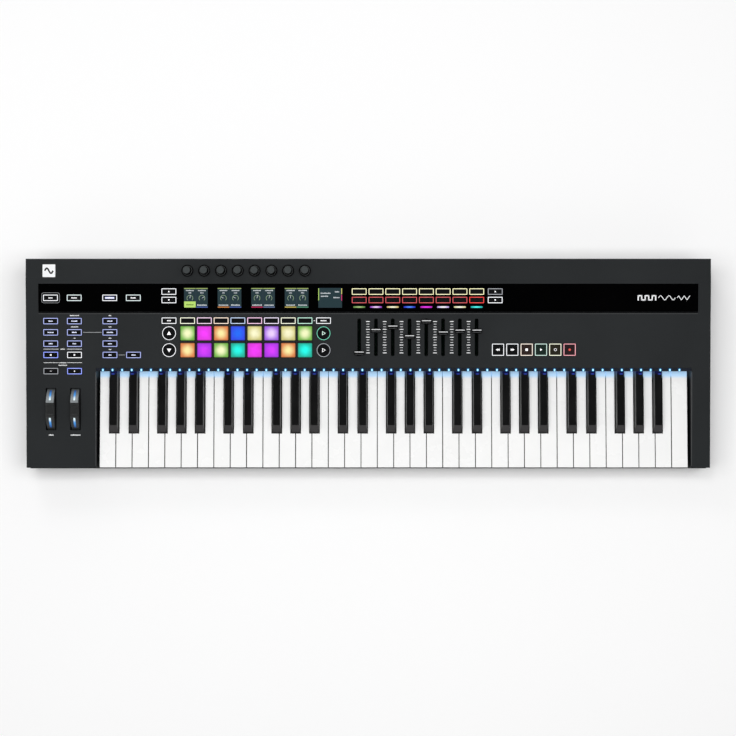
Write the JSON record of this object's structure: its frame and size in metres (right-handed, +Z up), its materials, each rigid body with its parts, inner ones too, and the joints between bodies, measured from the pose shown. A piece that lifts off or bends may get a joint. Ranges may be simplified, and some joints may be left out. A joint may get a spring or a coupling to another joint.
{
  "type": "synthesizer",
  "caption": "Wide low synthesizer keyboard in a black case, with full-size piano keys, wheels, lit pads and buttons, slide faders, small displays in a glossy band and a row of knobs behind.",
  "frame": {"origin": "on the table under the middle of the case", "axes": "+X to the player's right along the keyboard, +Y from the player's side to the rear sockets, +Z up"},
  "size_m": [0.981, 0.3, 0.1],
  "materials": {
    "case_plastic": "fine satin texture, charcoal",
    "gloss_band": "polished black acrylic",
    "circuit_board": "green solder mask",
    "steel": "zinc-plated sheet",
    "guide_plastic": "natural nylon",
    "control_plastic": "soft-touch black",
    "foot_rubber": "matt",
    "white_key_plastic": "smooth white",
    "black_key_plastic": "smooth matt black",
    "silicone": "translucent, lit from below"
  },
  "bodies": {
    "case": {"bottom_case": "case_plastic", "top_case": "case_plastic", "display_lens": "gloss_band", "display_board": "circuit_board", "key_light_bar": "case_plastic", "keybed_chassis": "steel", "key_guide_rail": "guide_plastic", "key_contact_board": "circuit_board", "control_board": "circuit_board", "encoder_board": "circuit_board", "main_board": "circuit_board", "rear_socket_board": "steel", "foot_front_left": "foot_rubber", "foot_front_right": "foot_rubber", "foot_rear_left": "foot_rubber", "foot_rear_right": "foot_rubber", "wheel_cradle": "control_plastic"},
    "octave_1_c_e_g_b_keys": {"octave_1_c_e_g_b_keys": "white_key_plastic"},
    "octave_1_d_f_a_keys": {"octave_1_d_f_a_keys": "white_key_plastic"},
    "octave_1_black_keys": {"octave_1_black_keys": "black_key_plastic"},
    "octave_2_c_e_g_b_keys": {"octave_2_c_e_g_b_keys": "white_key_plastic"},
    "octave_2_d_f_a_keys": {"octave_2_d_f_a_keys": "white_key_plastic"},
    "octave_2_black_keys": {"octave_2_black_keys": "black_key_plastic"},
    "octave_3_c_e_g_b_keys": {"octave_3_c_e_g_b_keys": "white_key_plastic"},
    "octave_3_d_f_a_keys": {"octave_3_d_f_a_keys": "white_key_plastic"},
    "octave_3_black_keys": {"octave_3_black_keys": "black_key_plastic"},
    "octave_4_c_e_g_b_keys": {"octave_4_c_e_g_b_keys": "white_key_plastic"},
    "octave_4_d_f_a_keys": {"octave_4_d_f_a_keys": "white_key_plastic"},
    "octave_4_black_keys": {"octave_4_black_keys": "black_key_plastic"},
    "octave_5_c_e_g_b_keys": {"octave_5_c_e_g_b_keys": "white_key_plastic"},
    "octave_5_d_f_a_keys": {"octave_5_d_f_a_keys": "white_key_plastic"},
    "octave_5_black_keys": {"octave_5_black_keys": "black_key_plastic"},
    "top_c_key": {"top_c_key": "white_key_plastic"},
    "pitch_wheel": {"pitch_wheel": "control_plastic"},
    "modulation_wheel": {"modulation_wheel": "control_plastic"},
    "knob_1": {"knob_1": "control_plastic"},
    "knob_2": {"knob_2": "control_plastic"},
    "knob_3": {"knob_3": "control_plastic"},
    "knob_4": {"knob_4": "control_plastic"},
    "knob_5": {"knob_5": "control_plastic"},
    "knob_6": {"knob_6": "control_plastic"},
    "knob_7": {"knob_7": "control_plastic"},
    "knob_8": {"knob_8": "control_plastic"},
    "fader_1": {"fader_1": "control_plastic"},
    "fader_2": {"fader_2": "control_plastic"},
    "fader_3": {"fader_3": "control_plastic"},
    "fader_4": {"fader_4": "control_plastic"},
    "fader_5": {"fader_5": "control_plastic"},
    "fader_6": {"fader_6": "control_plastic"},
    "fader_7": {"fader_7": "control_plastic"},
    "fader_8": {"fader_8": "control_plastic"},
    "upper_pad_row": {"upper_pad_row": "silicone"},
    "lower_pad_row": {"lower_pad_row": "silicone"},
    "function_buttons": {"function_buttons": "silicone"},
    "pad_section_buttons": {"pad_section_buttons": "silicone"},
    "transport_buttons": {"transport_buttons": "silicone"},
    "band_buttons": {"band_buttons": "silicone"},
    "upper_fader_buttons": {"upper_fader_buttons": "silicone"},
    "lower_fader_buttons": {"lower_fader_buttons": "silicone"},
    "power_button": {"power_button": "control_plastic"}
  },
  "joints": [
    {"name": "octave_1_c_e_g_b_keys_press", "type": "hinge", "parent": "case", "child": "octave_1_c_e_g_b_keys", "pos_m": [0, 0.036, 0.03925], "axis": [1, 0, 0], "range_deg": [0, 3.1], "stiffness_Nm_per_rad": 2, "springref_deg": -8.59},
    {"name": "octave_1_d_f_a_keys_press", "type": "hinge", "parent": "case", "child": "octave_1_d_f_a_keys", "pos_m": [0, 0.036, 0.04325], "axis": [1, 0, 0], "range_deg": [0, 3.1], "stiffness_Nm_per_rad": 2, "springref_deg": -8.59},
    {"name": "octave_1_black_keys_press", "type": "hinge", "parent": "case", "child": "octave_1_black_keys", "pos_m": [0, 0.036, 0.04725], "axis": [1, 0, 0], "range_deg": [0, 3.1], "stiffness_Nm_per_rad": 2, "springref_deg": -8.59},
    {"name": "octave_2_c_e_g_b_keys_press", "type": "hinge", "parent": "case", "child": "octave_2_c_e_g_b_keys", "pos_m": [0, 0.036, 0.03925], "axis": [1, 0, 0], "range_deg": [0, 3.1], "stiffness_Nm_per_rad": 2, "springref_deg": -8.59},
    {"name": "octave_2_d_f_a_keys_press", "type": "hinge", "parent": "case", "child": "octave_2_d_f_a_keys", "pos_m": [0, 0.036, 0.04325], "axis": [1, 0, 0], "range_deg": [0, 3.1], "stiffness_Nm_per_rad": 2, "springref_deg": -8.59},
    {"name": "octave_2_black_keys_press", "type": "hinge", "parent": "case", "child": "octave_2_black_keys", "pos_m": [0, 0.036, 0.04725], "axis": [1, 0, 0], "range_deg": [0, 3.1], "stiffness_Nm_per_rad": 2, "springref_deg": -8.59},
    {"name": "octave_3_c_e_g_b_keys_press", "type": "hinge", "parent": "case", "child": "octave_3_c_e_g_b_keys", "pos_m": [0, 0.036, 0.03925], "axis": [1, 0, 0], "range_deg": [0, 3.1], "stiffness_Nm_per_rad": 2, "springref_deg": -8.59},
    {"name": "octave_3_d_f_a_keys_press", "type": "hinge", "parent": "case", "child": "octave_3_d_f_a_keys", "pos_m": [0, 0.036, 0.04325], "axis": [1, 0, 0], "range_deg": [0, 3.1], "stiffness_Nm_per_rad": 2, "springref_deg": -8.59},
    {"name": "octave_3_black_keys_press", "type": "hinge", "parent": "case", "child": "octave_3_black_keys", "pos_m": [0, 0.036, 0.04725], "axis": [1, 0, 0], "range_deg": [0, 3.1], "stiffness_Nm_per_rad": 2, "springref_deg": -8.59},
    {"name": "octave_4_c_e_g_b_keys_press", "type": "hinge", "parent": "case", "child": "octave_4_c_e_g_b_keys", "pos_m": [0, 0.036, 0.03925], "axis": [1, 0, 0], "range_deg": [0, 3.1], "stiffness_Nm_per_rad": 2, "springref_deg": -8.59},
    {"name": "octave_4_d_f_a_keys_press", "type": "hinge", "parent": "case", "child": "octave_4_d_f_a_keys", "pos_m": [0, 0.036, 0.04325], "axis": [1, 0, 0], "range_deg": [0, 3.1], "stiffness_Nm_per_rad": 2, "springref_deg": -8.59},
    {"name": "octave_4_black_keys_press", "type": "hinge", "parent": "case", "child": "octave_4_black_keys", "pos_m": [0, 0.036, 0.04725], "axis": [1, 0, 0], "range_deg": [0, 3.1], "stiffness_Nm_per_rad": 2, "springref_deg": -8.59},
    {"name": "octave_5_c_e_g_b_keys_press", "type": "hinge", "parent": "case", "child": "octave_5_c_e_g_b_keys", "pos_m": [0, 0.036, 0.03925], "axis": [1, 0, 0], "range_deg": [0, 3.1], "stiffness_Nm_per_rad": 2, "springref_deg": -8.59},
    {"name": "octave_5_d_f_a_keys_press", "type": "hinge", "parent": "case", "child": "octave_5_d_f_a_keys", "pos_m": [0, 0.036, 0.04325], "axis": [1, 0, 0], "range_deg": [0, 3.1], "stiffness_Nm_per_rad": 2, "springref_deg": -8.59},
    {"name": "octave_5_black_keys_press", "type": "hinge", "parent": "case", "child": "octave_5_black_keys", "pos_m": [0, 0.036, 0.04725], "axis": [1, 0, 0], "range_deg": [0, 3.1], "stiffness_Nm_per_rad": 2, "springref_deg": -8.59},
    {"name": "top_c_key_press", "type": "hinge", "parent": "case", "child": "top_c_key", "pos_m": [0, 0.036, 0.03925], "axis": [1, 0, 0], "range_deg": [0, 3.1], "stiffness_Nm_per_rad": 0.6, "springref_deg": -8.59},
    {"name": "pitch_wheel_turn", "type": "hinge", "parent": "case", "child": "pitch_wheel", "pos_m": [-0.4545, -0.06344, 0.04616], "axis": [-1, 0, 0], "range_deg": [-40, 40], "stiffness_Nm_per_rad": 0.05},
    {"name": "modulation_wheel_turn", "type": "hinge", "parent": "case", "child": "modulation_wheel", "pos_m": [-0.4196, -0.06344, 0.04616], "axis": [-1, 0, 0], "range_deg": [-40, 40]},
    {"name": "knob_1_turn", "type": "hinge", "parent": "case", "child": "knob_1", "pos_m": [-0.2585, 0.1323, 0.08426], "axis": [0, -0.0262, 0.9997], "continuous": true},
    {"name": "knob_2_turn", "type": "hinge", "parent": "case", "child": "knob_2", "pos_m": [-0.2345, 0.1323, 0.08426], "axis": [0, -0.0262, 0.9997], "continuous": true},
    {"name": "knob_3_turn", "type": "hinge", "parent": "case", "child": "knob_3", "pos_m": [-0.2105, 0.1323, 0.08426], "axis": [0, -0.0262, 0.9997], "continuous": true},
    {"name": "knob_4_turn", "type": "hinge", "parent": "case", "child": "knob_4", "pos_m": [-0.1865, 0.1323, 0.08426], "axis": [0, -0.0262, 0.9997], "continuous": true},
    {"name": "knob_5_turn", "type": "hinge", "parent": "case", "child": "knob_5", "pos_m": [-0.1625, 0.1323, 0.08426], "axis": [0, -0.0262, 0.9997], "continuous": true},
    {"name": "knob_6_turn", "type": "hinge", "parent": "case", "child": "knob_6", "pos_m": [-0.1385, 0.1323, 0.08426], "axis": [0, -0.0262, 0.9997], "continuous": true},
    {"name": "knob_7_turn", "type": "hinge", "parent": "case", "child": "knob_7", "pos_m": [-0.1145, 0.1323, 0.08426], "axis": [0, -0.0262, 0.9997], "continuous": true},
    {"name": "knob_8_turn", "type": "hinge", "parent": "case", "child": "knob_8", "pos_m": [-0.0905, 0.1323, 0.08426], "axis": [0, -0.0262, 0.9997], "continuous": true},
    {"name": "fader_1_slide", "type": "slide", "parent": "case", "child": "fader_1", "axis": [0, 0.9969, 0.0785], "range_m": [0, 0.04464]},
    {"name": "fader_2_slide", "type": "slide", "parent": "case", "child": "fader_2", "axis": [0, 0.9969, 0.0785], "range_m": [-0.03214, 0.0125]},
    {"name": "fader_3_slide", "type": "slide", "parent": "case", "child": "fader_3", "axis": [0, 0.9969, 0.0785], "range_m": [-0.03705, 0.00759]},
    {"name": "fader_4_slide", "type": "slide", "parent": "case", "child": "fader_4", "axis": [0, 0.9969, 0.0785], "range_m": [-0.02321, 0.02143]},
    {"name": "fader_5_slide", "type": "slide", "parent": "case", "child": "fader_5", "axis": [0, 0.9969, 0.0785], "range_m": [-0.04464, 0]},
    {"name": "fader_6_slide", "type": "slide", "parent": "case", "child": "fader_6", "axis": [0, 0.9969, 0.0785], "range_m": [-0.02857, 0.01607]},
    {"name": "fader_7_slide", "type": "slide", "parent": "case", "child": "fader_7", "axis": [0, 0.9969, 0.0785], "range_m": [-0.03125, 0.01339]},
    {"name": "fader_8_slide", "type": "slide", "parent": "case", "child": "fader_8", "axis": [0, 0.9969, 0.0785], "range_m": [-0.03125, 0.01339]},
    {"name": "upper_pad_row_press", "type": "slide", "parent": "case", "child": "upper_pad_row", "axis": [0, 0.0785, -0.9969], "range_m": [0, 0.001], "stiffness_N_per_m": 800, "springref_m": -0.001},
    {"name": "lower_pad_row_press", "type": "slide", "parent": "case", "child": "lower_pad_row", "axis": [0, 0.0785, -0.9969], "range_m": [0, 0.001], "stiffness_N_per_m": 800, "springref_m": -0.001},
    {"name": "function_buttons_press", "type": "slide", "parent": "case", "child": "function_buttons", "axis": [0, 0.0785, -0.9969], "range_m": [0, 0.0009], "stiffness_N_per_m": 800, "springref_m": -0.001},
    {"name": "pad_section_buttons_press", "type": "slide", "parent": "case", "child": "pad_section_buttons", "axis": [0, 0.0785, -0.9969], "range_m": [0, 0.0009], "stiffness_N_per_m": 800, "springref_m": -0.001},
    {"name": "transport_buttons_press", "type": "slide", "parent": "case", "child": "transport_buttons", "axis": [0, 0.0785, -0.9969], "range_m": [0, 0.0009], "stiffness_N_per_m": 600, "springref_m": -0.001},
    {"name": "band_buttons_press", "type": "slide", "parent": "case", "child": "band_buttons", "axis": [0, 0.1045, -0.9945], "range_m": [0, 0.0009], "stiffness_N_per_m": 600, "springref_m": -0.001},
    {"name": "upper_fader_buttons_press", "type": "slide", "parent": "case", "child": "upper_fader_buttons", "axis": [0, 0.1045, -0.9945], "range_m": [0, 0.0009], "stiffness_N_per_m": 600, "springref_m": -0.001},
    {"name": "lower_fader_buttons_press", "type": "slide", "parent": "case", "child": "lower_fader_buttons", "axis": [0, 0.1045, -0.9945], "range_m": [0, 0.0009], "stiffness_N_per_m": 600, "springref_m": -0.001},
    {"name": "power_button_press", "type": "slide", "parent": "case", "child": "power_button", "axis": [0, -1, 0], "range_m": [0, 0.002], "stiffness_N_per_m": 300, "springref_m": -0.001}
  ]
}
